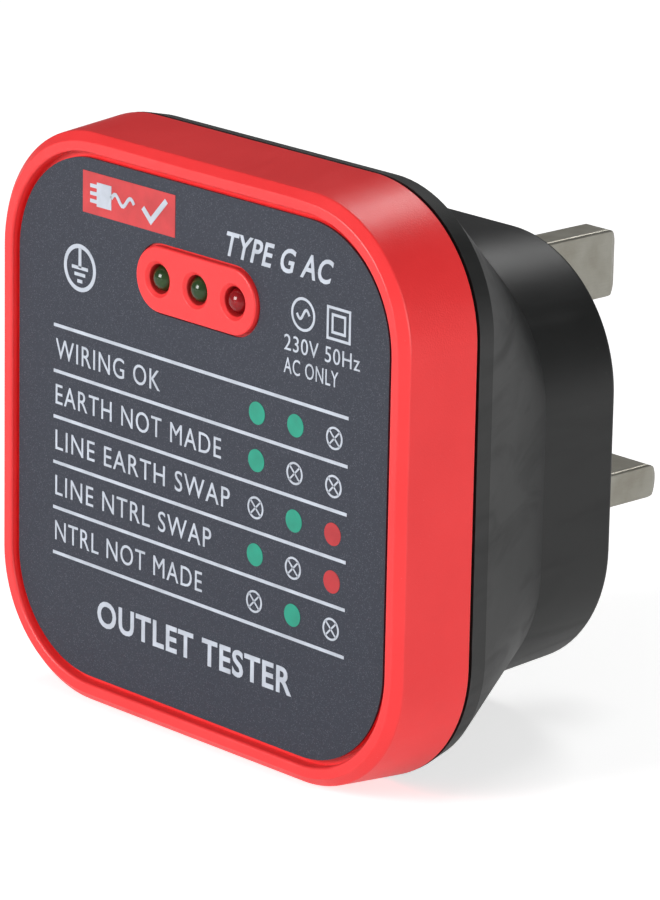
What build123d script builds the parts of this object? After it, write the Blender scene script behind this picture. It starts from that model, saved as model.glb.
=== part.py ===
from build123d import *
from math import radians, tan
import os

# UK socket tester in the form of a plug. Millimetres.
# +X is to the right seen from the front, +Y runs into the wall along the pins, +Z is up.
# The origin lies on the plug face, level with the centre of the square front.

# the square front of the case
faceSize = 66.7          # outside, at the parting line
faceCorner = 15.8        # corner radius there
faceDraft = 5.0          # degrees, narrower toward the front
partingY = -30.4         # where the red front meets the black rear
frontY = -40.3           # crest of the front lip
frontEdge = 0.9          # bevel round the outside of the lip
lipEdge = 0.35            # inner rounding of the lip
partingEdge = 0.3        # rounding of the red edge at the parting line
shadowGap = 0.3          # step in the black edge that leaves a dark line
shadowDeep = 0.7
frontInside = 60.4       # the cavity of the front shell
frontInsideCorner = 12.8
frontFloorY = -37.2      # inside of the front wall

# the label and the raised window with three lamps
labelSize = 60.8
labelCorner = 13.1
labelGap = 0.7
windowGap = 0.25
labelThick = 0.3
labelSeatY = -39.4
reliefDeep = 0.5         # groove round the label seat
windowLong = 19.15
windowHigh = 7.4
windowZ = 18.5
windowFrontY = -40.2
windowEdge = 0.25
lampPitch = 6.05
lampHole = 3.3
lampBowl = 4.1           # mouth of the dished entry
lampBowlDeep = 0.35
lampBowlEdge = 0.12

# the black rear: flange, taper and plug body
flangeBackY = -27.5
flangeDraft = 13.0       # degrees
flangeInside = 62.4
flangeInsideCorner = 13.8
taperEndY = -11.5
plugWide = 49.0
plugHigh = 50.0
plugCentreZ = -4.0
plugCorner = 16.2
plugDraft = 2.6          # degrees, wider toward the taper
plugFaceThick = 2.6
plugEdge = 0.7
wallThick = 2.2
tongueThick = 0.9
tongueDeep = 1.6
tongueGap = 0.1

# the three pins, to BS 1363
liveZ = -10.5
pinRise = 22.23          # earth pin centre above the line and neutral pins
liveX = 11.11
earthWide, earthHigh, earthLong = 4.0, 8.0, 23.2
liveWide, liveHigh, liveLong = 6.35, 4.0, 18.1
# tips: (rounding seen from the side, bevel across X, bevel along Y)
earthTip = (1.8, 0.55, 1.0)
liveTip = (1.95, 0.45, 0.85)
neckWide, neckHigh = 5.2, 2.9
sleeveLong = 9.3
pinGap = 0.05            # play all round a pin in its slot
sleeveGap = 0.02
headThick = 2.8
earthHeadWide, earthHeadHigh = 7.0, 11.0
liveHeadWide, liveHeadHigh = 9.0, 6.6
tailWide, tailThick, tailLong = 4.0, 1.2, 6.4
eyeDiameter = 1.2

# the plate that holds the pin heads down
retainerThick = 2.2
retainerBarWide, retainerBarHigh = 34.0, 11.6
retainerStemWide = 13.0
retainerTopZ = 18.6
retainerScrewZ = (1.4, -10.5)
retainerBoss = 5.2

# the circuit board and what it carries
boardSize = 57.0
boardCorner = 11.0
boardThick = 1.6
boardFrontY = -31.4
standoff = 5.2
standoffAt = 21.5
lampDiameter = 3.0
lampFlange = 3.9
lampTopY = -40.3
lampLong = 5.3
leadSize = 0.45
leadSpread = 2.54
leadTail = 1.2           # bare lead left standing behind the board
resistorX, resistorSpan = -6.5, 14.0
resistorLong, resistorDiameter = 9.6, 3.4
diodeX, diodeSpan = 7.5, 10.0
diodeLong, diodeDiameter = 5.2, 2.7
channelZ = (10.5, 4.5, -1.5)
wireDiameter = 1.7
wireCore = 0.8
wireHole = 1.1

# fasteners: (thread, head diameter, head height, length under the head)
caseScrew = (2.9, 5.4, 2.0, 12.0)
smallScrew = (2.2, 3.9, 1.4, 5.0)
casePostAt = ((-18.2, 4.5), (18.2, 4.5), (0.0, -22.5))
casePost = 7.8
caseBoss = 6.4
counterbore = 6.0
counterboreDeep = 17.8
postEndY = -20.2
screwPlay = 0.05

backOfBoardY = boardFrontY + boardThick
lampSpots = [(i * lampPitch, windowZ) for i in (-1, 0, 1)]
earthZ = liveZ + pinRise
pinSpots = {"earth": (0.0, earthZ), "line": (liveX, liveZ), "neutral": (-liveX, liveZ)}
retainerFrontY = -plugFaceThick - headThick - retainerThick


def across(y):
    """A plane square to the pins at depth y: local x is X, local y is Z, out of the front."""
    return Plane(origin=(0, y, 0), x_dir=(1, 0, 0), z_dir=(0, -1, 0))


def slab(outline, y0, y1, taper=0.0):
    """An outline drawn in X and Z, filled from depth y0 forward or back to y1."""
    return extrude(across(y0) * outline, amount=y0 - y1, taper=taper)


def square(size, corner):
    return RectangleRounded(size, size, corner)


def at(x, z, outline):
    return Pos(x, z) * outline


def rod(x, z, diameter, y0, y1):
    return slab(at(x, z, Circle(diameter / 2)), y0, y1)


def block(x, z, wide, high, y0, y1):
    return slab(at(x, z, Rectangle(wide, high)), y0, y1)


def plugOutline(grow=0.0):
    wide = plugWide + 2 * grow
    high = plugHigh + 2 * grow
    return at(0, plugCentreZ, RectangleRounded(wide, high, plugCorner + grow))


def edgesAt(solid, y):
    """The edges that lie wholly in the plane at depth y."""
    return [e for e in solid.edges() if abs(e.bounding_box().min.Y - y) < 1e-3
            and abs(e.bounding_box().max.Y - y) < 1e-3]


def innerEdgesAt(solid, y, reach):
    """The edges in that plane whose middles lie within a square of half-size reach."""
    return [e for e in edgesAt(solid, y) if max(abs((e @ 0.5).X), abs((e @ 0.5).Z)) < reach]


def screwSolid(screw, x, z, headY, toward):
    """A pan-head screw: head seated at headY, shank running to headY + toward * length."""
    thread, headDiameter, headHigh, long = screw
    root = thread * 0.78
    pitch = thread * 0.36
    profile = [(0, -headHigh), (headDiameter * 0.30, -headHigh), (headDiameter / 2, -headHigh * 0.45),
               (headDiameter / 2, 0), (thread / 2, 0)]
    turns = int((long - thread) / pitch)
    for i in range(turns):
        top = 0.3 + i * pitch
        profile += [(root / 2, top + pitch * 0.25), (root / 2, top + pitch * 0.55), (thread / 2, top + pitch * 0.8)]
    profile += [(root / 2, 0.3 + turns * pitch + pitch * 0.4), (root / 2, long - thread), (0, long)]
    body = revolve(Plane.XZ * make_face(Polyline(*profile, close=True)), Axis.Z)
    recessLong = headDiameter * 0.55
    recess = Box(recessLong, thread * 0.3, headHigh * 1.1) + Box(thread * 0.3, recessLong, headHigh * 1.1)
    body = body - Pos(0, 0, -headHigh) * recess
    turn = Rot(-90, 0, 0) if toward > 0 else Rot(90, 0, 0)
    return Pos(x, headY, z) * turn * body


def makeFrontShell():
    shell = slab(square(faceSize, faceCorner), partingY, frontY, taper=faceDraft)
    shell = chamfer(edgesAt(shell, frontY), frontEdge)
    bevelFoot = [e for e in shell.edges() if frontY + 0.5 < e.center().Y < frontY + 1.2]
    shell = fillet(bevelFoot, 0.3)
    shell = fillet(edgesAt(shell, frontY), 0.2)
    shell = fillet(edgesAt(shell, partingY), partingEdge)
    shell -= slab(square(labelSize, labelCorner), labelSeatY, frontY - 1)
    relief = slab(square(labelSize, labelCorner), labelSeatY + reliefDeep, labelSeatY - 0.1)
    inside = square(labelSize - 2 * labelGap, labelCorner - labelGap)
    shell -= relief - slab(inside, labelSeatY + reliefDeep + 1, labelSeatY - 1)
    shell = fillet(innerEdgesAt(shell, frontY, labelSize / 2 + 0.01), lipEdge)
    shell -= slab(square(frontInside, frontInsideCorner), frontFloorY, partingY + 1)

    window = slab(at(0, windowZ, SlotOverall(windowLong, windowHigh)), labelSeatY + 0.5, windowFrontY)
    window = fillet(edgesAt(window, windowFrontY), windowEdge)
    shell += window
    for x, z in lampSpots:
        shell -= rod(x, z, lampHole, frontFloorY + 1, windowFrontY - 1)
        mouth = across(windowFrontY) * at(x, z, Circle(lampBowl / 2))
        bottom = across(windowFrontY + lampBowlDeep) * at(x, z, Circle(lampHole / 2))
        shell -= loft([mouth, bottom])
    for y in (windowFrontY, windowFrontY + lampBowlDeep):
        rims = [e for e in edgesAt(shell, y) if e.geom_type == GeomType.CIRCLE
                and e.radius < lampBowl / 2 + 0.1]
        shell = fillet(rims, lampBowlEdge)

    for x, z in casePostAt:
        shell += rod(x, z, caseBoss, frontFloorY - 0.5, postEndY)
        shell -= rod(x, z, caseScrew[0] + 2 * screwPlay, frontFloorY + 3, postEndY + 1)
    for x in (-standoffAt, standoffAt):
        for z in (-standoffAt, standoffAt):
            shell += rod(x, z, standoff, frontFloorY - 0.5, boardFrontY)
            shell -= rod(x, z, smallScrew[0] + 2 * screwPlay, frontFloorY + 0.6, boardFrontY + 1)

    # tongue that locates the rear shell
    tongueOuter = flangeInside - 2 * tongueGap
    tongueInner = tongueOuter - 2 * tongueThick
    tongue = slab(square(tongueOuter, flangeInsideCorner - tongueGap), partingY - 0.8, partingY + tongueDeep)
    tongue -= slab(square(tongueInner, flangeInsideCorner - tongueThick), partingY - 2, partingY + tongueDeep + 1)
    return shell + tongue


def makeLabel():
    size = labelSize - 2 * labelGap
    label = slab(square(size, labelCorner - labelGap), labelSeatY, labelSeatY - labelThick)
    opening = at(0, windowZ, SlotOverall(windowLong + 2 * windowGap, windowHigh + 2 * windowGap))
    return label - slab(opening, labelSeatY + 1, frontY)


def pinSlots():
    """What the pins need through the plug face."""
    play = 2 * pinGap
    cut = block(0, earthZ, earthWide + play, earthHigh + play, 1, -plugFaceThick - 1)
    for name in ("line", "neutral"):
        x, z = pinSpots[name]
        cut += block(x, z, liveWide + play, liveHigh + play, 1, -plugFaceThick - 1)
    return cut


def makeRearShell():
    flange = slab(square(faceSize, faceCorner), partingY, flangeBackY, taper=flangeDraft)
    step = slab(square(faceSize + 2, faceCorner + 1), partingY + shadowGap, partingY - 1)
    step -= slab(square(faceSize - 2 * shadowDeep, faceCorner - shadowDeep), partingY + 1, partingY - 2)
    flange -= step
    body = slab(plugOutline(), 0, taperEndY, taper=-plugDraft)
    body = fillet(edgesAt(body, 0), plugEdge)
    shrink = (flangeBackY - partingY) * tan(radians(flangeDraft))
    grow = -taperEndY * tan(radians(plugDraft))
    wideEnd = across(flangeBackY) * square(faceSize - 2 * shrink, faceCorner - shrink)
    narrowEnd = across(taperEndY) * plugOutline(grow)
    taper = loft([wideEnd, narrowEnd], ruled=True)
    shell = flange + taper + body

    cavity = slab(plugOutline(-wallThick), -plugFaceThick, taperEndY - 1)
    innerNarrow = across(taperEndY - 1) * plugOutline(-wallThick)
    innerWide = across(flangeBackY) * square(flangeInside, flangeInsideCorner)
    cavity += loft([innerNarrow, innerWide], ruled=True)
    cavity += slab(square(flangeInside, flangeInsideCorner), flangeBackY, partingY - 1)
    shell -= cavity

    for x, z in casePostAt:
        shell += rod(x, z, casePost, -1, postEndY)
    for z in retainerScrewZ:
        shell += rod(0, z, retainerBoss, -1, -plugFaceThick - headThick)
    for x, z in casePostAt:
        shell -= rod(x, z, counterbore, 1, -counterboreDeep)
        shell -= rod(x, z, caseScrew[0] + 0.4, -counterboreDeep + 1, postEndY - 1)
    for z in retainerScrewZ:
        shell -= rod(0, z, smallScrew[0] + 2 * screwPlay, -1.2, -plugFaceThick - headThick - 1)
    return shell - pinSlots()


def pinTail(x, z):
    """Flat tab behind the head with an eye for the wire, edge on to X."""
    start = -plugFaceThick - headThick
    tail = block(x, z, tailThick, tailWide, start, start - tailLong)
    eyeY = start - tailLong + 1.6
    return tail - Pos(x, eyeY, z) * Rot(0, 90, 0) * Cylinder(eyeDiameter / 2, tailThick * 3)


def bladeWithTip(x, z, wide, high, startY, endY, tip):
    """A flat blade with softened long edges and a rounded, bevelled nose."""
    nose, bevelX, bevelY = tip
    blade = block(x, z, wide, high, startY, endY)
    blade = fillet(blade.edges().filter_by(Axis.Y), 0.35)
    side = block(x, z, wide + 1, high, startY, endY)
    side = fillet([e for e in edgesAt(side, endY) if abs(e.tangent_at(0).X) > 0.9], nose)
    half = wide / 2
    plan = Polyline((x - half, startY, 0), (x + half, startY, 0), (x + half, endY - bevelY, 0),
                    (x + half - bevelX, endY, 0), (x - half + bevelX, endY, 0),
                    (x - half, endY - bevelY, 0), close=True)
    fromAbove = extrude(make_face(plan), amount=high, both=True)
    return blade & side & Pos(0, 0, z) * fromAbove


def makeEarthPin():
    x, z = pinSpots["earth"]
    blade = bladeWithTip(x, z, earthWide, earthHigh, -plugFaceThick, earthLong, earthTip)
    head = block(x, z, earthHeadWide, earthHeadHigh, -plugFaceThick, -plugFaceThick - headThick)
    return blade + head + pinTail(x, z)


def makeLivePin(name):
    x, z = pinSpots[name]
    neck = block(x, z, neckWide, neckHigh, -plugFaceThick, sleeveLong)
    blade = bladeWithTip(x, z, liveWide, liveHigh, sleeveLong, liveLong, liveTip)
    head = block(x, z, liveHeadWide, liveHeadHigh, -plugFaceThick, -plugFaceThick - headThick)
    return neck + blade + head + pinTail(x, z)


def makeSleeve(name):
    x, z = pinSpots[name]
    outline = at(x, z, RectangleRounded(liveWide, liveHigh, 0.35))
    hole = block(x, z, neckWide + 2 * sleeveGap, neckHigh + 2 * sleeveGap, -plugFaceThick - 1, sleeveLong + 1)
    return slab(outline, -plugFaceThick, sleeveLong) - hole


def makeRetainer():
    back = -plugFaceThick - headThick
    bar = at(0, liveZ, RectangleRounded(retainerBarWide, retainerBarHigh, 2.5))
    stemHigh = retainerTopZ - liveZ
    stem = at(0, liveZ + stemHigh / 2, RectangleRounded(retainerStemWide, stemHigh, 2.5))
    plate = slab(bar, back, retainerFrontY) + slab(stem, back, retainerFrontY)
    plate = chamfer(edgesAt(plate, retainerFrontY), 0.4)
    for x, z in pinSpots.values():
        plate -= block(x, z, tailThick + 0.4, tailWide + 0.4, back + 1, retainerFrontY - 1)
    for z in retainerScrewZ:
        plate -= rod(0, z, smallScrew[0] + 0.3, back + 1, retainerFrontY - 1)
    return plate


def leadHoles():
    """(x, z, hole diameter) of everything soldered through the board."""
    spots = []
    for x, z in lampSpots:
        spots += [(x - leadSpread / 2, z, 0.9), (x + leadSpread / 2, z, 0.9)]
    for z in channelZ:
        for x, span in ((resistorX, resistorSpan), (diodeX, diodeSpan)):
            spots += [(x - span / 2, z, 0.9), (x + span / 2, z, 0.9)]
    for x, z in wirePads().values():
        spots.append((x, z, wireHole))
    return spots


def wirePads():
    """Where each wire meets the board, beside its own pin."""
    return {name: (x + 5.5 if x >= 0 else x - 5.5, z - 4.0) for name, (x, z) in pinSpots.items()}


def makeBoard():
    board = slab(square(boardSize, boardCorner), boardFrontY, backOfBoardY)
    for x, z in casePostAt:
        board -= rod(x, z, caseBoss + 0.8, boardFrontY - 1, backOfBoardY + 1)
    for x in (-standoffAt, standoffAt):
        for z in (-standoffAt, standoffAt):
            board -= rod(x, z, smallScrew[0] + 0.3, boardFrontY - 1, backOfBoardY + 1)
    for x, z, hole in leadHoles():
        board -= rod(x, z, hole, boardFrontY - 1, backOfBoardY + 1)
    return board


def makeLamp(x, z):
    """A 3 mm lamp: domed body, thin flange and two square leads down through the board."""
    backY = lampTopY + lampLong
    radius = lampDiameter / 2
    body = rod(x, z, lampDiameter, backY, lampTopY + radius) + Pos(x, lampTopY + radius, z) * Sphere(radius)
    body += rod(x, z, lampFlange, backY, backY - 1.0)
    body -= block(x - lampFlange / 2, z, 0.5, lampFlange, backY + 0.5, backY - 1.5)
    for side in (-1, 1):
        leadX = x + side * leadSpread / 2
        body += block(leadX, z, leadSize, leadSize, backY, backOfBoardY + leadTail)
    return body


def makeLampHolder():
    """Spacer that holds the three lamps at their height above the board."""
    backY = lampTopY + lampLong
    long = 2 * lampPitch + 5.2
    holder = slab(at(0, windowZ, RectangleRounded(long, 5.0, 1.0)), boardFrontY, backY)
    for x, z in lampSpots:
        for side in (-1, 1):
            holder -= rod(x + side * leadSpread / 2, z, 0.9, boardFrontY + 1, backY - 1)
    return holder


def axialPart(x, z, bodyLong, diameter, span, capLong):
    """A body lying along X in front of the board on two bent leads."""
    axisY = boardFrontY - diameter / 2 - 0.3
    body = Pos(x, axisY, z) * Rot(0, 90, 0) * Cylinder(diameter / 2 * 0.92, bodyLong)
    for side in (-1, 1):
        capX = x + side * (bodyLong - capLong) / 2
        cap = Rot(0, 90, 0) * Cylinder(diameter / 2, capLong)
        body += Pos(capX, axisY, z) * fillet(cap.edges(), capLong * 0.2)
    tailY = backOfBoardY + leadTail
    route = FilletPolyline((x - span / 2, tailY, z), (x - span / 2, axisY, z),
                           (x + span / 2, axisY, z), (x + span / 2, tailY, z), radius=0.9)
    leadEnd = Plane(origin=route @ 0, z_dir=route % 0) * Circle(0.3)
    return body + sweep(leadEnd, path=route)


def makeWire(name):
    """Insulated wire from the board to the eye of its pin, with bare ends."""
    pinX, pinZ = pinSpots[name]
    padX, padZ = wirePads()[name]
    side = 1 if padX > pinX else -1
    eyeY = -plugFaceThick - headThick - tailLong + 1.6
    bareX = pinX + side * (tailThick / 2 + 0.6)
    route = FilletPolyline((padX, backOfBoardY + 1.3, padZ), (padX, backOfBoardY + 5, padZ),
                           (padX + side * 1.0, eyeY - 5, pinZ - 1.0), (padX, eyeY, pinZ),
                           (bareX, eyeY, pinZ), radius=1.6)
    cover = sweep(Plane(origin=route @ 0, z_dir=route % 0) * Circle(wireDiameter / 2), path=route)
    start = rod(padX, padZ, wireCore, backOfBoardY + 1.4, boardFrontY + 0.2)
    reach = abs(bareX - pinX) + 1.4
    end = Pos(bareX + side * 0.1 - side * reach / 2, eyeY, pinZ) * Rot(0, 90, 0) * Cylinder(wireCore / 2, reach)
    return cover + start + end


def makeSolder():
    """One cone of solder round each lead behind the board."""
    cones = []
    for x, z, hole in leadHoles():
        high = 1.0
        foot = across(backOfBoardY) * at(x, z, Circle(hole / 2 + 0.6))
        tip = across(backOfBoardY + high) * at(x, z, Circle(hole / 2 + 0.15))
        bore = rod(x, z, hole, backOfBoardY - 1, backOfBoardY + high + 1)
        cones.append(loft([foot, tip]) - bore)
    return cones


def makeCaseScrews():
    return [screwSolid(caseScrew, x, z, -counterboreDeep, -1) for x, z in casePostAt]


def makeBoardScrews():
    return [screwSolid(smallScrew, x, z, backOfBoardY, -1)
            for x in (-standoffAt, standoffAt) for z in (-standoffAt, standoffAt)]


def makeRetainerScrews():
    short = smallScrew[:3] + (retainerThick + headThick + 0.9,)
    return [screwSolid(short, 0, z, retainerFrontY, 1) for z in retainerScrewZ]


def save(node, shape):
    if isinstance(shape, list):
        shape = Compound(children=[piece.solid() for piece in shape])
    shape.label = node
    export_step(shape, os.path.join("parts", node + ".step"))


os.makedirs("parts", exist_ok=True)
save("front_shell", makeFrontShell())
save("front_label", makeLabel())
save("rear_shell", makeRearShell())
save("earth_pin", makeEarthPin())
for pin in ("line", "neutral"):
    save(pin + "_pin", makeLivePin(pin))
    save(pin + "_pin_sleeve", makeSleeve(pin))
save("pin_retainer", makeRetainer())
save("retainer_screws", makeRetainerScrews())
save("circuit_board", makeBoard())
save("board_screws", makeBoardScrews())
for node, spot in zip(("led_green_left", "led_green_middle", "led_red_right"), lampSpots):
    save(node, makeLamp(*spot))
save("led_holder", makeLampHolder())
for place, z in zip(("top", "middle", "bottom"), channelZ):
    save("resistor_" + place, axialPart(resistorX, z, resistorLong, resistorDiameter, resistorSpan, 2.2))
    save("diode_" + place, axialPart(diodeX, z, diodeLong, diodeDiameter, diodeSpan, 1.2))
for pin in pinSpots:
    save(pin + "_wire", makeWire(pin))
save("solder_joints", makeSolder())
save("case_screws", makeCaseScrews())
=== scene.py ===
import math

import bmesh
import bpy
from mathutils import Matrix, Vector


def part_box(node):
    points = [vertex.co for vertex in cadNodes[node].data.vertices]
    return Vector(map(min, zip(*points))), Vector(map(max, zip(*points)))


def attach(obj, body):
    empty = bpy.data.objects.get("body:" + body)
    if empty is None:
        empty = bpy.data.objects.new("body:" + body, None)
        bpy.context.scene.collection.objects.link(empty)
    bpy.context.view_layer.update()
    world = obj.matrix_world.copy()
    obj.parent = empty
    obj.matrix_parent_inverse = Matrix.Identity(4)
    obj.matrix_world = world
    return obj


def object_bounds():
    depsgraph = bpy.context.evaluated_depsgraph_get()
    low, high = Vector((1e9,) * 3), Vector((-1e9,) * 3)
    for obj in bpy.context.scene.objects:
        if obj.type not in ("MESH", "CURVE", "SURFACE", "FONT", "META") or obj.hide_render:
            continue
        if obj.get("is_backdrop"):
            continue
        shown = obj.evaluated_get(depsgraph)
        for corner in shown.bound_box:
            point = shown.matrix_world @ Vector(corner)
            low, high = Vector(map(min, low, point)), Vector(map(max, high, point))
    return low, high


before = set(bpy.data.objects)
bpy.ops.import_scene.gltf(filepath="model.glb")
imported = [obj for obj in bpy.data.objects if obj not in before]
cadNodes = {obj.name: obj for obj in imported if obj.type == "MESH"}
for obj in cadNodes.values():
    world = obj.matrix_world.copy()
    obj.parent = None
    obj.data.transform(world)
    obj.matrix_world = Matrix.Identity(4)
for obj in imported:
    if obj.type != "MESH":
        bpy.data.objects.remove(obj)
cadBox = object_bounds()
mm = 0.001

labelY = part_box("front_label")[0].y  # the printed side of the label
print("frame loaded:", len(cadNodes), "nodes")


def newNode(tree, kind, **settings):
    made = tree.nodes.new(kind)
    for key, value in settings.items():
        setattr(made, key, value)
    return made


def plug(tree, value, socket):
    if isinstance(value, bpy.types.NodeSocket):
        tree.links.new(value, socket)
    elif value is not None:
        socket.default_value = value


def mathOf(tree, operation, first, second=None, clamp=False):
    made = newNode(tree, "ShaderNodeMath", operation=operation, use_clamp=clamp)
    plug(tree, first, made.inputs[0])
    plug(tree, second, made.inputs[1])
    return made.outputs[0]


def mixOf(tree, factor, first, second):
    made = newNode(tree, "ShaderNodeMix", data_type="RGBA")
    plug(tree, factor, made.inputs[0])
    plug(tree, first, made.inputs[6])
    plug(tree, second, made.inputs[7])
    return made.outputs[2]


def rangeOf(tree, value, fromLow, fromHigh, toLow, toHigh):
    made = newNode(tree, "ShaderNodeMapRange")
    for socket, given in zip(made.inputs, (value, fromLow, fromHigh, toLow, toHigh)):
        plug(tree, given, socket)
    return made.outputs[0]


def newGroup(name, inputs, outputs):
    tree = bpy.data.node_groups.new(name, "ShaderNodeTree")
    for label, value in inputs:
        socket = tree.interface.new_socket(label, in_out="INPUT", socket_type="NodeSocketFloat")
        socket.default_value = value
    for label in outputs:
        tree.interface.new_socket(label, in_out="OUTPUT", socket_type="NodeSocketFloat")
    return tree, tree.nodes.new("NodeGroupInput"), tree.nodes.new("NodeGroupOutput")


def objectPoint(tree, stretch=(1, 1, 1)):
    # object coordinates in millimetres
    point = newNode(tree, "ShaderNodeTexCoord")
    scale = newNode(tree, "ShaderNodeMapping")
    scale.inputs["Scale"].default_value = [s / mm for s in stretch]
    tree.links.new(point.outputs["Object"], scale.inputs["Vector"])
    return scale.outputs[0]


def noiseOf(tree, size, detail, stretch=(1, 1, 1), **settings):
    # noise whose features are about size mm across
    made = newNode(tree, "ShaderNodeTexNoise")
    plug(tree, objectPoint(tree, stretch), made.inputs["Vector"])
    plug(tree, mathOf(tree, "DIVIDE", 1.0, size), made.inputs["Scale"])
    made.inputs["Detail"].default_value = detail
    for key, value in settings.items():
        made.inputs[key].default_value = value
    return made.outputs[0]


def cellsOf(tree, scale):
    made = newNode(tree, "ShaderNodeTexVoronoi", feature="F1")
    plug(tree, objectPoint(tree), made.inputs["Vector"])
    plug(tree, scale, made.inputs["Scale"])
    return made.outputs


def buildMouldGrain():
    # spark-eroded mould texture: a fine height and a slow drift in colour and sheen
    tree, ins, outs = newGroup("mouldGrain", [("Grain mm", 0.2), ("Drift mm", 9.0)], ["Height", "Drift"])
    plug(tree, noiseOf(tree, ins.outputs["Grain mm"], 3.0, Roughness=0.65), outs.inputs["Height"])
    plug(tree, noiseOf(tree, ins.outputs["Drift mm"], 4.0), outs.inputs["Drift"])
    return tree


def buildEdgeWear():
    # where a small bevel would turn the surface, broken up by noise
    tree, ins, outs = newGroup("edgeWear", [("Reach mm", 0.3), ("Patch mm", 1.4)], ["Mask"])
    bevel = newNode(tree, "ShaderNodeBevel", samples=4)
    plug(tree, mathOf(tree, "MULTIPLY", ins.outputs["Reach mm"], mm), bevel.inputs["Radius"])
    geometry = newNode(tree, "ShaderNodeNewGeometry")
    dot = newNode(tree, "ShaderNodeVectorMath", operation="DOT_PRODUCT")
    plug(tree, bevel.outputs[0], dot.inputs[0])
    plug(tree, geometry.outputs["Normal"], dot.inputs[1])
    turned = rangeOf(tree, dot.outputs["Value"], 0.995, 0.86, 0.0, 1.0)
    broken = rangeOf(tree, noiseOf(tree, ins.outputs["Patch mm"], 5.0), 0.42, 0.66, 0.0, 1.0)
    plug(tree, mathOf(tree, "MULTIPLY", turned, broken, clamp=True), outs.inputs["Mask"])
    return tree


def buildHandling():
    # thin wiped marks for roughness, and a few specks of dust
    tree, ins, outs = newGroup("handling", [("Mark mm", 6.0), ("Dust mm", 0.5)], ["Marks", "Dust"])
    marks = noiseOf(tree, ins.outputs["Mark mm"], 8.0, stretch=(1.0, 0.35, 1.6), Distortion=1.2)
    plug(tree, rangeOf(tree, marks, 0.5, 0.72, 0.0, 1.0), outs.inputs["Marks"])
    specks = cellsOf(tree, mathOf(tree, "DIVIDE", 0.35, ins.outputs["Dust mm"]))
    plug(tree, rangeOf(tree, specks["Distance"], 0.06, 0.02, 0.0, 1.0), outs.inputs["Dust"])
    return tree


def buildSparkle():
    # metallic fleck in a dark film: tone per fleck, and a painted highlight on the few flecks taken to
    # catch the light
    tree, ins, outs = newGroup("filmSparkle", [("Fleck mm", 0.12), ("Share", 0.08)],
                               ["Tone", "Glint", "Height"])
    cells = cellsOf(tree, mathOf(tree, "DIVIDE", 1.0, ins.outputs["Fleck mm"]))
    split = newNode(tree, "ShaderNodeSeparateColor")
    plug(tree, cells["Color"], split.inputs[0])
    plug(tree, split.outputs[0], outs.inputs["Tone"])
    limit = mathOf(tree, "SUBTRACT", 1.0, ins.outputs["Share"])
    plug(tree, mathOf(tree, "GREATER_THAN", split.outputs[1], limit), outs.inputs["Glint"])
    plug(tree, cells["Distance"], outs.inputs["Height"])
    return tree


def buildDrawnMetal():
    # drawn metal: streaks along Y, pits and a slow tarnish
    sizes = [("Streak mm", 0.08), ("Tarnish mm", 3.0), ("Pits per mm", 3.2)]
    tree, ins, outs = newGroup("drawnMetal", sizes, ["Streak", "Tarnish", "Pits"])
    streaks = noiseOf(tree, ins.outputs["Streak mm"], 2.0, stretch=(1.0, 0.05, 1.0))
    plug(tree, streaks, outs.inputs["Streak"])
    plug(tree, noiseOf(tree, ins.outputs["Tarnish mm"], 6.0), outs.inputs["Tarnish"])
    pits = cellsOf(tree, ins.outputs["Pits per mm"])
    plug(tree, rangeOf(tree, pits["Distance"], 0.1, 0.03, 0.0, 1.0), outs.inputs["Pits"])
    return tree


mouldGrain = buildMouldGrain()
edgeWear = buildEdgeWear()
handling = buildHandling()
filmSparkle = buildSparkle()
drawnMetal = buildDrawnMetal()
print("shader groups built")


def place(tree, group, **values):
    made = newNode(tree, "ShaderNodeGroup", node_tree=group)
    for key, value in values.items():
        made.inputs[key.replace("_", " ")].default_value = value
    return made.outputs


def newMaterial(name, roughness, metallic=0.0):
    material = bpy.data.materials.new(name)
    material.use_nodes = True
    shader = material.node_tree.nodes["Principled BSDF"]
    shader.inputs["Roughness"].default_value = roughness
    shader.inputs["Metallic"].default_value = metallic
    return material, material.node_tree, shader.inputs


def addBump(tree, sockets, height, strength, distance):
    bump = newNode(tree, "ShaderNodeBump")
    bump.inputs["Strength"].default_value = strength
    bump.inputs["Distance"].default_value = distance * mm
    plug(tree, height, bump.inputs["Height"])
    plug(tree, bump.outputs[0], sockets["Normal"])


def mouldedPlastic(name, look):
    # colour drifts a little, edges polish or pale, handling changes the sheen
    material, tree, sockets = newMaterial(name, look["rough"])
    grain = place(tree, mouldGrain, Grain_mm=look["grain"])
    wear = place(tree, edgeWear, Reach_mm=look["wearReach"])
    marks = place(tree, handling, Mark_mm=look["markSize"])
    drifted = mixOf(tree, rangeOf(tree, grain["Drift"], 0.3, 0.7, 0.0, 1.0), look["deep"], look["color"])
    worn = mixOf(tree, mathOf(tree, "MULTIPLY", wear["Mask"], look["wear"]), drifted, look["edge"])
    specks = mathOf(tree, "MULTIPLY", marks["Dust"], look["dust"])
    plug(tree, mixOf(tree, specks, worn, look["dustColor"]), sockets["Base Color"])
    rough = rangeOf(tree, marks["Marks"], 0.0, 1.0, look["rough"], look["rough"] + look["markRough"])
    rough = mathOf(tree, "ADD", rough, rangeOf(tree, grain["Drift"], 0.3, 0.7, -0.03, 0.03))
    polish = mathOf(tree, "MULTIPLY", wear["Mask"], look["wearPolish"])
    plug(tree, mathOf(tree, "SUBTRACT", rough, polish), sockets["Roughness"])
    addBump(tree, sockets, grain["Height"], look["bump"], look["grain"] * 0.5)
    sockets["IOR"].default_value = look["ior"]
    return material


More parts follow.
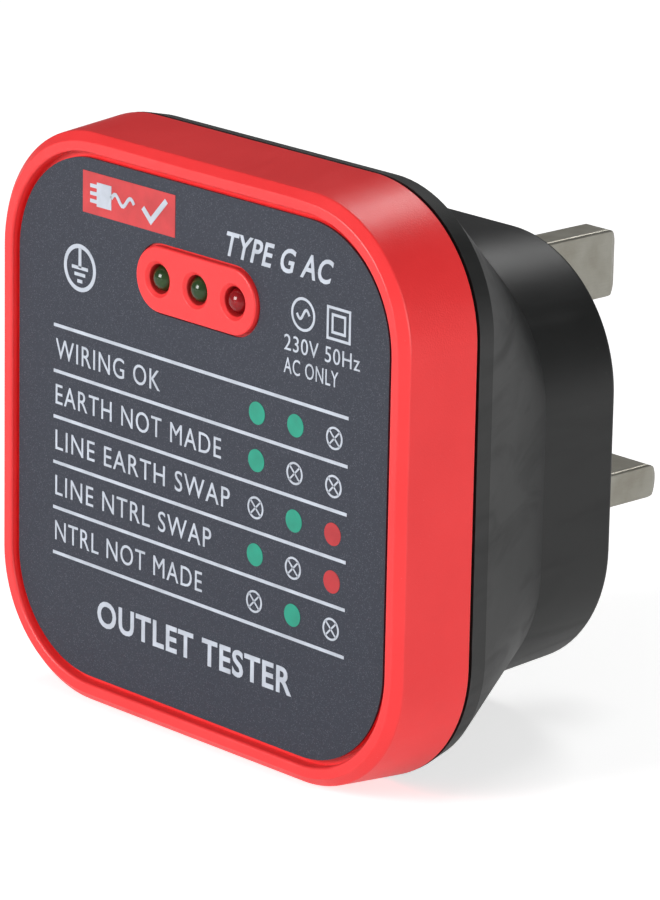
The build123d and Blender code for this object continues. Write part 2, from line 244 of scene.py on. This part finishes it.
redLook = dict(color=(0.83, 0.036, 0.038, 1), deep=(0.78, 0.030, 0.032, 1), edge=(0.95, 0.1, 0.1, 1),
               rough=0.36, markRough=0.08, grain=0.2, bump=0.26, wearReach=0.5, wear=0.35, wearPolish=0.08,
               markSize=7.0, dust=0.06, dustColor=(0.75, 0.73, 0.7, 1), ior=1.46)
blackLook = dict(color=(0.010, 0.0106, 0.0104, 1), deep=(0.008, 0.0085, 0.0083, 1),
                 edge=(0.04, 0.041, 0.042, 1), rough=0.42, markRough=0.1, grain=0.14, bump=0.22,
                 wearReach=0.45, wear=0.5, wearPolish=0.08, markSize=8.0, dust=0.06,
                 dustColor=(0.75, 0.73, 0.7, 1), ior=1.5)
sleeveLook = dict(blackLook, color=(0.02, 0.02, 0.021, 1), deep=(0.016, 0.016, 0.017, 1), rough=0.35,
                  bump=0.08)
nylonLook = dict(redLook, color=(0.74, 0.72, 0.65, 1), deep=(0.68, 0.66, 0.58, 1),
                 edge=(0.85, 0.84, 0.8, 1), rough=0.5, wear=0.2)
epoxyLook = dict(blackLook, color=(0.025, 0.025, 0.027, 1), rough=0.3, bump=0.05)
redPlastic = mouldedPlastic("redPlastic", redLook)
blackPlastic = mouldedPlastic("blackPlastic", blackLook)
sleevePlastic = mouldedPlastic("sleevePlastic", sleeveLook)
whiteNylon = mouldedPlastic("whiteNylon", nylonLook)
diodeEpoxy = mouldedPlastic("diodeEpoxy", epoxyLook)


def sparkleFilm(look):
    material, tree, sockets = newMaterial("labelFilm", look["rough"])
    fleck = place(tree, filmSparkle, Fleck_mm=look["fleck"], Share=look["share"])
    grain = place(tree, mouldGrain, Drift_mm=look["cloudSize"])
    marks = place(tree, handling, Mark_mm=look["markSize"])
    toned = mixOf(tree, fleck["Tone"], look["deep"], look["color"])
    clouds = rangeOf(tree, grain["Drift"], 0.3, 0.7, 0.0, look["cloud"])
    clouded = mixOf(tree, clouds, toned, look["color"])
    # painted highlight: the glint flecks are lifted toward a pale colour as if they catch the light
    glint = mathOf(tree, "MULTIPLY", fleck["Glint"], look["glint"])
    plug(tree, mixOf(tree, glint, clouded, look["paintedGlintColor"]), sockets["Base Color"])
    rough = rangeOf(tree, marks["Marks"], 0.0, 1.0, look["rough"], look["rough"] + look["markRough"])
    polish = mathOf(tree, "MULTIPLY", fleck["Glint"], look["glintPolish"])
    plug(tree, mathOf(tree, "SUBTRACT", rough, polish), sockets["Roughness"])
    addBump(tree, sockets, fleck["Height"], look["bump"], look["bumpDeep"])
    sockets["Specular IOR Level"].default_value = look["shine"]
    return material


filmLook = dict(color=(0.026, 0.031, 0.046, 1), deep=(0.015, 0.018, 0.030, 1), paintedGlintColor=(0.2, 0.21, 0.25, 1),
                rough=0.45, markSize=9.0, markRough=0.07, fleck=0.07, share=0.05, glint=0.3,
                glintPolish=0.15, cloud=0.25, cloudSize=14.0, bump=0.12, bumpDeep=0.03, shine=0.4)
labelFilm = sparkleFilm(filmLook)


inkLook = dict(rough=0.45, thin=0.82, mesh=0.22, patch=2.5, bump=0.12, bumpDeep=0.04)


def screenInk(name, color, look=inkLook):
    # opaque printed ink: slightly uneven tone and a faint mesh in its skin
    material, tree, sockets = newMaterial(name, look["rough"])
    grain = place(tree, mouldGrain, Grain_mm=look["mesh"], Drift_mm=look["patch"])
    thin = tuple(c * look["thin"] for c in color[:3]) + (1,)
    cover = rangeOf(tree, grain["Drift"], 0.35, 0.65, 0.0, 1.0)
    plug(tree, mixOf(tree, cover, thin, color), sockets["Base Color"])
    plug(tree, rangeOf(tree, grain["Height"], 0.3, 0.7, 0.4, 0.52), sockets["Roughness"])
    addBump(tree, sockets, grain["Height"], look["bump"], look["bumpDeep"])
    return material


whiteInk = screenInk("whiteInk", (0.50, 0.54, 0.61, 1))
greenInk = screenInk("greenInk", (0.006, 0.29, 0.19, 1))
redInk = screenInk("redInk", (0.46, 0.020, 0.026, 1))
badgeInk = screenInk("badgeInk", (0.56, 0.038, 0.042, 1))


def drawnMetalFinish(name, look):
    material, tree, sockets = newMaterial(name, look["rough"], 1.0)
    metal = place(tree, drawnMetal, Streak_mm=look["streak"])
    wear = place(tree, edgeWear, Reach_mm=look["wearReach"])
    dulled = rangeOf(tree, metal["Tarnish"], 0.35, 0.7, 0.0, 1.0)
    tint = mixOf(tree, dulled, look["color"], look["tarnish"])
    tint = mixOf(tree, mathOf(tree, "MULTIPLY", wear["Mask"], look["wear"]), tint, look["edge"])
    pits = mathOf(tree, "MULTIPLY", metal["Pits"], look["pitDeep"])
    plug(tree, mixOf(tree, pits, tint, look["pit"]), sockets["Base Color"])
    rough = rangeOf(tree, metal["Streak"], 0.3, 0.7, look["rough"] - 0.06, look["rough"] + 0.08)
    haze = mathOf(tree, "MULTIPLY", metal["Tarnish"], look["haze"])
    plug(tree, mathOf(tree, "ADD", rough, haze), sockets["Roughness"])
    addBump(tree, sockets, metal["Streak"], look["bump"], look["bumpDeep"])
    return material


nickelLook = dict(color=(0.46, 0.447, 0.392, 1), tarnish=(0.37, 0.35, 0.295, 1), edge=(0.56, 0.55, 0.5, 1),
                  pit=(0.2, 0.19, 0.16, 1), pitDeep=0.5, rough=0.4, streak=0.1, wearReach=0.4, wear=0.5,
                  haze=0.06, bump=0.12, bumpDeep=0.02)
zincLook = dict(nickelLook, color=(0.62, 0.63, 0.66, 1), tarnish=(0.48, 0.50, 0.54, 1),
                edge=(0.8, 0.8, 0.82, 1), pit=(0.3, 0.3, 0.3, 1), rough=0.3, streak=0.06)
solderLook = dict(zincLook, color=(0.7, 0.7, 0.72, 1), tarnish=(0.55, 0.55, 0.57, 1), rough=0.25)
nickelPlate = drawnMetalFinish("nickelPlate", nickelLook)
zincSteel = drawnMetalFinish("zincSteel", zincLook)
solderTin = drawnMetalFinish("solderTin", solderLook)


def lensEpoxy(name, look):
    # tinted resin with painted shade: darker at its rim than where it is looked straight into
    material, tree, sockets = newMaterial(name, look["rough"][0])
    rimShade = newNode(tree, "ShaderNodeLayerWeight")
    rimShade.inputs[0].default_value = look["rim"]
    grain = place(tree, mouldGrain, Grain_mm=look["grain"], Drift_mm=look["cloudSize"])
    clouds = rangeOf(tree, grain["Drift"], 0.35, 0.65, 0.0, look["cloud"])
    cloudy = mixOf(tree, clouds, look["lit"], look["deep"])
    # painted shade: the colour turns toward the deep tint where the dome is seen edge-on
    plug(tree, mixOf(tree, rimShade.outputs["Facing"], cloudy, look["deep"]), sockets["Base Color"])
    plug(tree, rangeOf(tree, grain["Height"], 0.3, 0.7, *look["rough"]), sockets["Roughness"])
    addBump(tree, sockets, grain["Height"], look["bump"], look["bumpDeep"])
    sockets["Coat Weight"].default_value = look["coat"]
    sockets["Coat Roughness"].default_value = look["coatRough"]
    sockets["Specular IOR Level"].default_value = look["shine"]
    return material


greenLensLook = dict(deep=(0.006, 0.02, 0.005, 1), lit=(0.028, 0.066, 0.018, 1), rough=(0.1, 0.2), rim=0.45,
                     grain=0.9, cloud=0.6, cloudSize=1.6, bump=0.04, bumpDeep=0.03, coat=0.2,
                     coatRough=0.08, shine=0.3)
redLensLook = dict(greenLensLook, deep=(0.12, 0.002, 0.003, 1), lit=(0.27, 0.005, 0.008, 1))
greenLens = lensEpoxy("greenLens", greenLensLook)
redLens = lensEpoxy("redLens", redLensLook)


def coatedLaminate(look):
    # green solder mask over faint tracks
    material, tree, sockets = newMaterial("solderMask", look["rough"][0])
    tracks = newNode(tree, "ShaderNodeTexBrick")
    plug(tree, objectPoint(tree), tracks.inputs["Vector"])
    tracks.inputs["Scale"].default_value = look["scale"]
    tracks.inputs["Mortar Size"].default_value = look["trackWide"]
    tracks.inputs["Color1"].default_value = look["mask"]
    tracks.inputs["Color2"].default_value = look["maskPale"]
    tracks.inputs["Mortar"].default_value = look["track"]
    plug(tree, tracks.outputs["Color"], sockets["Base Color"])
    grain = place(tree, mouldGrain, Grain_mm=look["grain"])
    plug(tree, rangeOf(tree, grain["Height"], 0.3, 0.7, *look["rough"]), sockets["Roughness"])
    addBump(tree, sockets, tracks.outputs["Fac"], look["bump"], look["bumpDeep"])
    return material


def bandedLacquer(look):
    # resistor coat with colour bands along X
    material, tree, sockets = newMaterial("bandedLacquer", look["rough"][0])
    wave = newNode(tree, "ShaderNodeTexWave", wave_type="BANDS", bands_direction="X")
    plug(tree, objectPoint(tree), wave.inputs["Vector"])
    wave.inputs["Scale"].default_value = look["scale"]
    grain = place(tree, mouldGrain, Grain_mm=look["grain"], Drift_mm=look["cloudSize"])
    coat = mixOf(tree, grain["Drift"], look["coat"], look["coatPale"])
    band = mathOf(tree, "GREATER_THAN", wave.outputs["Fac"], look["bandFrom"])
    plug(tree, mixOf(tree, band, coat, look["band"]), sockets["Base Color"])
    plug(tree, rangeOf(tree, grain["Height"], 0.3, 0.7, *look["rough"]), sockets["Roughness"])
    addBump(tree, sockets, grain["Height"], look["bump"], look["bumpDeep"])
    return material


laminateLook = dict(mask=(0.02, 0.16, 0.06, 1), maskPale=(0.025, 0.19, 0.07, 1), track=(0.04, 0.26, 0.1, 1),
                    trackWide=0.04, scale=0.22, rough=(0.25, 0.4), grain=0.4, bump=0.2, bumpDeep=0.05)
lacquerLook = dict(coat=(0.22, 0.42, 0.5, 1), coatPale=(0.3, 0.52, 0.6, 1), band=(0.35, 0.08, 0.02, 1),
                   bandFrom=0.86, scale=0.16, rough=(0.2, 0.35), grain=0.3, cloudSize=1.2, bump=0.1,
                   bumpDeep=0.05)
boardMask = coatedLaminate(laminateLook)
resistorCoat = bandedLacquer(lacquerLook)

wireLook = dict(redLook, rough=0.32, grain=0.25, bump=0.06, wear=0.1)
wireColors = {
    "earth_wire": ((0.10, 0.42, 0.06, 1), (0.5, 0.46, 0.03, 1)),
    "line_wire": ((0.24, 0.10, 0.04, 1), (0.19, 0.075, 0.03, 1)),
    "neutral_wire": ((0.03, 0.12, 0.48, 1), (0.025, 0.09, 0.38, 1)),
}
finishes = {
    "front_shell": redPlastic, "front_label": labelFilm, "rear_shell": blackPlastic,
    "earth_pin": nickelPlate, "line_pin": nickelPlate, "neutral_pin": nickelPlate,
    "line_pin_sleeve": sleevePlastic, "neutral_pin_sleeve": sleevePlastic, "led_holder": sleevePlastic,
    "pin_retainer": whiteNylon, "circuit_board": boardMask, "solder_joints": solderTin,
    "retainer_screws": zincSteel, "board_screws": zincSteel, "case_screws": zincSteel,
    "led_green_left": greenLens, "led_green_middle": greenLens, "led_red_right": redLens,
}
for spot in ("top", "middle", "bottom"):
    finishes["resistor_" + spot] = resistorCoat
    finishes["diode_" + spot] = diodeEpoxy
for name, (color, deep) in wireColors.items():
    finishes[name] = mouldedPlastic(name + "Pvc", dict(wireLook, color=color, deep=deep, edge=color))
for name, finish in finishes.items():
    cadNodes[name].data.materials.clear()
    cadNodes[name].data.materials.append(finish)
print("finishes on", len(finishes), "nodes")

inkHigh = 0.035 * mm  # how far the print stands off the film


def keepPiece(name, mesh, material):
    piece = bpy.data.objects.new(name, mesh)
    bpy.context.scene.collection.objects.link(piece)
    mesh.materials.clear()
    mesh.materials.append(material)
    for face in mesh.polygons:
        face.use_smooth = False
    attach(piece, "root")
    return piece


def ribbonMesh(name, shapes, faceY, high):
    # flat outlines in X and Z, each a list of (x, z) in mm, raised toward -Y
    work = bmesh.new()
    for outline in shapes:
        front = [work.verts.new((x * mm, faceY - high, z * mm)) for x, z in outline]
        back = [work.verts.new((x * mm, faceY, z * mm)) for x, z in outline]
        work.faces.new(front)
        for i in range(len(outline)):
            j = (i + 1) % len(outline)
            work.faces.new((front[i], back[i], back[j], front[j]))
    bmesh.ops.recalc_face_normals(work, faces=work.faces)
    mesh = bpy.data.meshes.new(name)
    work.to_mesh(mesh)
    work.free()
    return mesh


def circlePoints(x, z, radius, steps=48):
    turns = [math.radians(360.0 * i / steps) for i in range(steps)]
    return [(x + radius * math.cos(turn), z + radius * math.sin(turn)) for turn in turns]


def bar(x0, z0, x1, z1, wide):
    long = math.hypot(x1 - x0, z1 - z0)
    sideX = -(z1 - z0) / long * wide / 2
    sideZ = (x1 - x0) / long * wide / 2
    return [[(x0 - sideX, z0 - sideZ), (x1 - sideX, z1 - sideZ),
             (x1 + sideX, z1 + sideZ), (x0 + sideX, z0 + sideZ)]]


def trail(points, wide, closed=False):
    # a line of even width as quads, mitred at its corners
    count = len(points)
    sides = []
    for i, (x, z) in enumerate(points):
        before = points[i - 1] if (i or closed) else points[i]
        after = points[(i + 1) % count] if (i < count - 1 or closed) else points[i]
        first = Vector((x - before[0], z - before[1]))
        second = Vector((after[0] - x, after[1] - z))
        first = first.normalized() if first.length else second.normalized()
        second = second.normalized() if second.length else first
        normal = Vector((-(first + second).y, (first + second).x)).normalized()
        reach = wide / 2 / max(normal.dot(Vector((-first.y, first.x))), 0.3)
        sides.append(((x + normal.x * reach, z + normal.y * reach),
                      (x - normal.x * reach, z - normal.y * reach)))
    quads = []
    for i in range(count if closed else count - 1):
        (a, b), (c, d) = sides[i], sides[(i + 1) % count]
        quads.append([a, b, d, c])
    return quads


def ring(x, z, radius, wide):
    return trail(circlePoints(x, z, radius), wide, closed=True)


def rectangle(x0, z0, x1, z1):
    return [[(x0, z0), (x1, z0), (x1, z1), (x0, z1)]]


def earthSign(x, z, look):
    # a stem down to x, z and three bars under it, each (drop, half its length)
    marks = bar(x, z + look["stem"], x, z, look["stroke"])
    for drop, half in look["earthBars"]:
        marks += bar(x - half, z - drop, x + half, z - drop, look["barWide"])
    return marks


def textMesh(words, tracking, bold):
    curve = bpy.data.curves.new("letters", "FONT")
    curve.body = words
    curve.size = 1.0
    curve.extrude = 0.5
    curve.offset = bold
    curve.space_character = tracking
    curve.resolution_u = 4
    holder = bpy.data.objects.new("letters", curve)
    bpy.context.scene.collection.objects.link(holder)
    bpy.context.view_layer.update()
    shape = holder.evaluated_get(bpy.context.evaluated_depsgraph_get())
    mesh = bpy.data.meshes.new_from_object(shape)
    bpy.data.objects.remove(holder)
    return mesh


capHigh = max(v.co.y for v in textMesh("H", 1.0, 0.0).vertices)


def lettering(name, words, look, x, z, material=whiteInk, faceY=labelY, high=inkHigh,
              way=1):
    # capitals on a baseline at z, starting at x, all in mm; way is -1 to read from the back
    mesh = textMesh(words, look.get("tracking", 1.08), look.get("bold", 0.0))
    low = min(v.co.x for v in mesh.vertices)
    span = max(v.co.x for v in mesh.vertices) - low
    tall = look["capHeight"] / capHigh
    across = look["wide"] / span if "wide" in look else tall
    for vertex in mesh.vertices:
        letterX = (vertex.co.x - low) * across + vertex.co.y * tall * look.get("slant", 0.0)
        letterZ = vertex.co.y * tall - letterX * look.get("lean", 0.0)
        depth = (vertex.co.z + 0.5) * high
        vertex.co = ((x + way * letterX) * mm, faceY - way * depth, (z + letterZ) * mm)
    return keepPiece(name, mesh, material)


# words, how wide they are set in mm, and the lamps: G green, R red, x off
codeRows = (("WIRING OK", 17.4, "GGx"), ("EARTH NOT MADE", 27.4, "Gxx"), ("LINE EARTH SWAP", 28.9, "xGR"),
            ("LINE NTRL SWAP", 26.0, "GxR"), ("NTRL NOT MADE", 24.6, "xGx"))
# lean is how far the print drops to the right, in mm for each mm
codeTable = dict(left=-23.75, right=23.75, top=9.72, pitch=5.27, lean=0.005, ruleWide=0.38, capHeight=2.25,
                 tracking=1.12, textX=-23.4, lampX=(9.6, 15.63, 21.65), dotRadius=1.26, ringRadius=1.14,
                 ringWide=0.24, crossWide=0.2)


def lampOff(x, z, look):
    # a ring with a cross in it
    reach = look["ringRadius"] * math.sqrt(0.5)
    marks = ring(x, z, look["ringRadius"], look["ringWide"])
    marks += bar(x - reach, z - reach, x + reach, z + reach, look["crossWide"])
    marks += bar(x - reach, z + reach, x + reach, z - reach, look["crossWide"])
    return marks


def buildCodeTable(look):
    rules = []
    lampsOf = {"G": [], "R": [], "x": []}
    across = look["right"] - look["left"]
    for i in range(len(codeRows) + 1):
        z = look["top"] - i * look["pitch"]
        rules += bar(look["left"], z, look["right"], z - look["lean"] * across, look["ruleWide"])
    for row, (words, wide, code) in enumerate(codeRows):
        middle = look["top"] - (row + 0.5) * look["pitch"]
        lettering("print_row_" + str(row + 1), words, dict(look, wide=wide), look["textX"],
                  middle - look["capHeight"] / 2)
        for x, state in zip(look["lampX"], code):
            z = middle - look["lean"] * (x - look["left"])
            lamp = lampOff(x, z, look) if state == "x" else [circlePoints(x, z, look["dotRadius"])]
            lampsOf[state] += lamp
    for name, shapes, ink in (("print_rules", rules, whiteInk), ("print_lamps_off", lampsOf["x"], whiteInk),
                              ("print_lamps_green", lampsOf["G"], greenInk),
                              ("print_lamps_red", lampsOf["R"], redInk)):
        keepPiece(name, ribbonMesh(name, shapes, labelY, inkHigh), ink)


buildCodeTable(codeTable)

heading = dict(capHeight=2.85, left=-16.1, base=-23.3, wide=31.8, bold=0.022)
kindMark = dict(capHeight=2.55, left=3.9, base=23.3, wide=16.6, bold=0.018, slant=0.26)
rating = dict(capHeight=1.7, left=13.7, base=14.9, wide=11.6)
ratingLower = dict(rating, base=12.4, wide=8.352)
for name, words, look in (("print_title", "OUTLET TESTER", heading), ("print_kind", "TYPE G AC", kindMark),
                          ("print_rating", "230V 50Hz", rating),
                          ("print_rating_lower", "AC ONLY", ratingLower)):
    lettering(name, words, look, look["left"], look["base"])

badge = dict(left=-18.95, right=-3.8, low=23.5, high=28.2, mark=0.42, plugLeft=-16.6, plugRight=-14.2,
             plugHalf=1.35, pinLeft=-17.7, pinLifts=(-0.85, 0.0, 0.85), waveStep=0.25, waveSteps=16,
             waveHigh=0.55, waveHalf=1.25, tickWide=0.63, tick=((-9.0, 0.0), (-7.7, -1.25), (-5.2, 1.45)))


def buildBadge(look):
    # a plug seen from the side, its lead as a wave, and a tick
    panel = ribbonMesh("badgePanel", rectangle(look["left"], look["low"], look["right"], look["high"]),
                       labelY, inkHigh)
    keepPiece("badge_panel", panel, badgeInk)
    middle = (look["low"] + look["high"]) / 2
    marks = rectangle(look["plugLeft"], middle - look["plugHalf"],
                      look["plugRight"], middle + look["plugHalf"])
    for lift in look["pinLifts"]:
        marks += bar(look["pinLeft"], middle + lift, look["plugLeft"], middle + lift, look["mark"])
    wave = []
    for i in range(look["waveSteps"]):
        along = i * look["waveStep"]
        rise = look["waveHigh"] * math.sin(along * math.pi / look["waveHalf"])
        wave.append((look["plugRight"] + along, middle + rise))
    marks += trail(wave, look["mark"])
    marks += trail([(x, middle + rise) for x, rise in look["tick"]], look["tickWide"])
    mesh = ribbonMesh("badgeMarks", marks, labelY - inkHigh, inkHigh)
    keepPiece("badge_marks", mesh, whiteInk)


buildBadge(badge)

symbols = dict(earthX=-19.4, earthZ=17.0, earthRadius=2.45, stroke=0.48, barWide=0.384, stem=2.25,
               earthBars=((0.0, 1.35), (0.75, 0.9), (1.5, 0.42)), waveX=16.55, waveZ=19.25, waveRadius=1.7,
               waveHigh=0.55, waveHalf=0.96, squareX=22.0, squareZ=19.25, squareHalves=(1.68, 0.95),
               thin=0.3)


def buildSymbols(look):
    # earth sign in a ring, alternating current in a ring, and the square of double insulation
    marks = ring(look["earthX"], look["earthZ"], look["earthRadius"], look["stroke"])
    marks += earthSign(look["earthX"], look["earthZ"], look)
    x, z = look["waveX"], look["waveZ"]
    marks += ring(x, z, look["waveRadius"], look["thin"])
    steps = [t / 8 for t in range(-8, 9)]
    wave = [(x + t * look["waveHalf"], z + look["waveHigh"] * math.sin(t * math.pi)) for t in steps]
    marks += trail(wave, look["thin"])
    x, z = look["squareX"], look["squareZ"]
    for half in look["squareHalves"]:
        marks += trail(rectangle(x - half, z - half, x + half, z + half)[0], look["thin"], closed=True)
    keepPiece("print_symbols", ribbonMesh("symbols", marks, labelY, inkHigh), whiteInk)


buildSymbols(symbols)

faceMarks = dict(high=0.25, capHeight=3.0, lineX=19.3, neutralX=-16.9, base=-12.0, earthX=6.2, earthZ=11.7,
                 stroke=0.4, barWide=0.4, stem=1.6, earthBars=((0.0, 1.3), (0.75, 0.85), (1.5, 0.4)))


def buildFaceMarks(look):
    # raised letters by the pins, read from the back
    high = look["high"] * mm
    for name, letter, x in (("mark_line", "L", look["lineX"]), ("mark_neutral", "N", look["neutralX"])):
        lettering(name, letter, look, x, look["base"], blackPlastic, faceY=0.0, high=high,
                  way=-1)
    sign = ribbonMesh("earthMark", earthSign(look["earthX"], look["earthZ"], look), 0.0, -high)
    keepPiece("mark_earth", sign, blackPlastic)


buildFaceMarks(faceMarks)
print("print and marks made")

floorLook = dict(size=6.0, color=(0.82, 0.82, 0.82, 1), rough=0.9, shine=0.1, seen=0.62, unseen=0.24)


def buildFloor(look):
    lowest = cadBox[0][2]
    half = look["size"] / 2
    mesh = bpy.data.meshes.new("floor")
    corners = [(-half, -half, lowest), (half, -half, lowest), (half, half, lowest), (-half, half, lowest)]
    mesh.from_pydata(corners, [], [(0, 1, 2, 3)])
    floor = bpy.data.objects.new("floor", mesh)
    bpy.context.scene.collection.objects.link(floor)
    material, tree, sockets = newMaterial("paleFloor", look["rough"])
    sockets["Base Color"].default_value = look["color"]
    sockets["Specular IOR Level"].default_value = look["shine"]
    rays = newNode(tree, "ShaderNodeLightPath")  # lifted to near white only where it is looked at
    lift = rangeOf(tree, rays.outputs["Is Camera Ray"], 0.0, 1.0, look["unseen"], look["seen"])
    plug(tree, lift, sockets["Emission Strength"])
    sockets["Emission Color"].default_value = (1, 1, 1, 1)
    mesh.materials.append(material)
    floor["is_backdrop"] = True


buildFloor(floorLook)

# toward is the direction from the object, distance and size are in metres
lamps = dict(
    key=dict(toward=(-0.26, -0.91, 0.31), distance=0.75, size=(0.3, 0.26), watts=4.4, color=(1, 1, 1)),
    side=dict(toward=(0.97, -0.2, 0.12), distance=0.8, size=(0.5, 0.5), watts=4.2, color=(1, 0.995, 0.98)),
    rearTop=dict(toward=(-0.2, 0.58, 0.78), distance=0.8, size=(0.26, 0.2), watts=1.8, color=(1, 1, 1)),
)


def buildLamp(name, look):
    light = bpy.data.lights.new(name, "AREA")
    light.shape = "RECTANGLE"
    light.size, light.size_y = look["size"]
    light.energy = look["watts"]
    light.color = look["color"]
    holder = bpy.data.objects.new(name, light)
    bpy.context.scene.collection.objects.link(holder)
    away = Vector(look["toward"]).normalized()
    holder.location = away * look["distance"]
    holder.rotation_euler = away.to_track_quat("Z", "Y").to_euler()


for name, look in lamps.items():
    buildLamp(name, look)

studio = dict(color=(0.97, 0.98, 1.0, 1), dimColor=(0.26, 0.26, 0.265, 1), strength=0.32,
              dimToward=(-0.2, 0.6, 0.77), dimFrom=-0.3, dimTo=0.75, backdrop=(2.4, 2.4, 2.42, 1))


def buildStudio(look):
    # dimmer above and behind the object; past the floor's edge it is seen as pale as the floor
    world = bpy.data.worlds.new("studio")
    world.use_nodes = True
    tree = world.node_tree
    sky = tree.nodes["Background"]
    looking = newNode(tree, "ShaderNodeTexCoord")
    toward = newNode(tree, "ShaderNodeVectorMath", operation="DOT_PRODUCT")
    plug(tree, looking.outputs["Generated"], toward.inputs[0])
    toward.inputs[1].default_value = look["dimToward"]
    dim = rangeOf(tree, toward.outputs["Value"], look["dimFrom"], look["dimTo"], 0.0, 1.0)
    glow = mixOf(tree, dim, look["color"], look["dimColor"])
    rays = newNode(tree, "ShaderNodeLightPath")
    plug(tree, mixOf(tree, rays.outputs["Is Camera Ray"], glow, look["backdrop"]), sky.inputs["Color"])
    sky.inputs["Strength"].default_value = look["strength"]
    bpy.context.scene.world = world


buildStudio(studio)

# angles in degrees, aim and distance in metres, lens in mm
view = dict(azimuth=46.665, elevation=16.2, roll=1.06, aim=(-0.00146, -0.02, 0.00038), distance=0.5924,
            lens=214.22, sensor=36.0, shift=(0.0108, -0.0369), clipStart=0.02)


def buildCamera(look):
    camera = bpy.data.cameras.new("camera")
    camera.lens = look["lens"]
    camera.sensor_width = look["sensor"]
    camera.shift_x, camera.shift_y = look["shift"]
    camera.clip_start = look["clipStart"]
    holder = bpy.data.objects.new("camera", camera)
    bpy.context.scene.collection.objects.link(holder)
    turn, rise = math.radians(look["azimuth"]), math.radians(look["elevation"])
    away = Vector((math.sin(turn) * math.cos(rise), -math.cos(turn) * math.cos(rise), math.sin(rise)))
    upright = away.to_track_quat("Z", "Y").to_matrix().to_4x4()
    tilt = Matrix.Rotation(math.radians(look["roll"]), 4, "Z")
    stand = Matrix.Translation(Vector(look["aim"]) + away * look["distance"])
    holder.matrix_world = stand @ upright @ tilt
    bpy.context.scene.camera = holder


buildCamera(view)
scene = bpy.context.scene
scene.view_settings.view_transform = "Standard"
scene.view_settings.look = "None"
print("camera and lights set")

boxes = {"cad": cadBox, "visual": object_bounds()}
for key, corners in boxes.items():
    boxes[key] = [[float(v) for v in corner] for corner in corners]
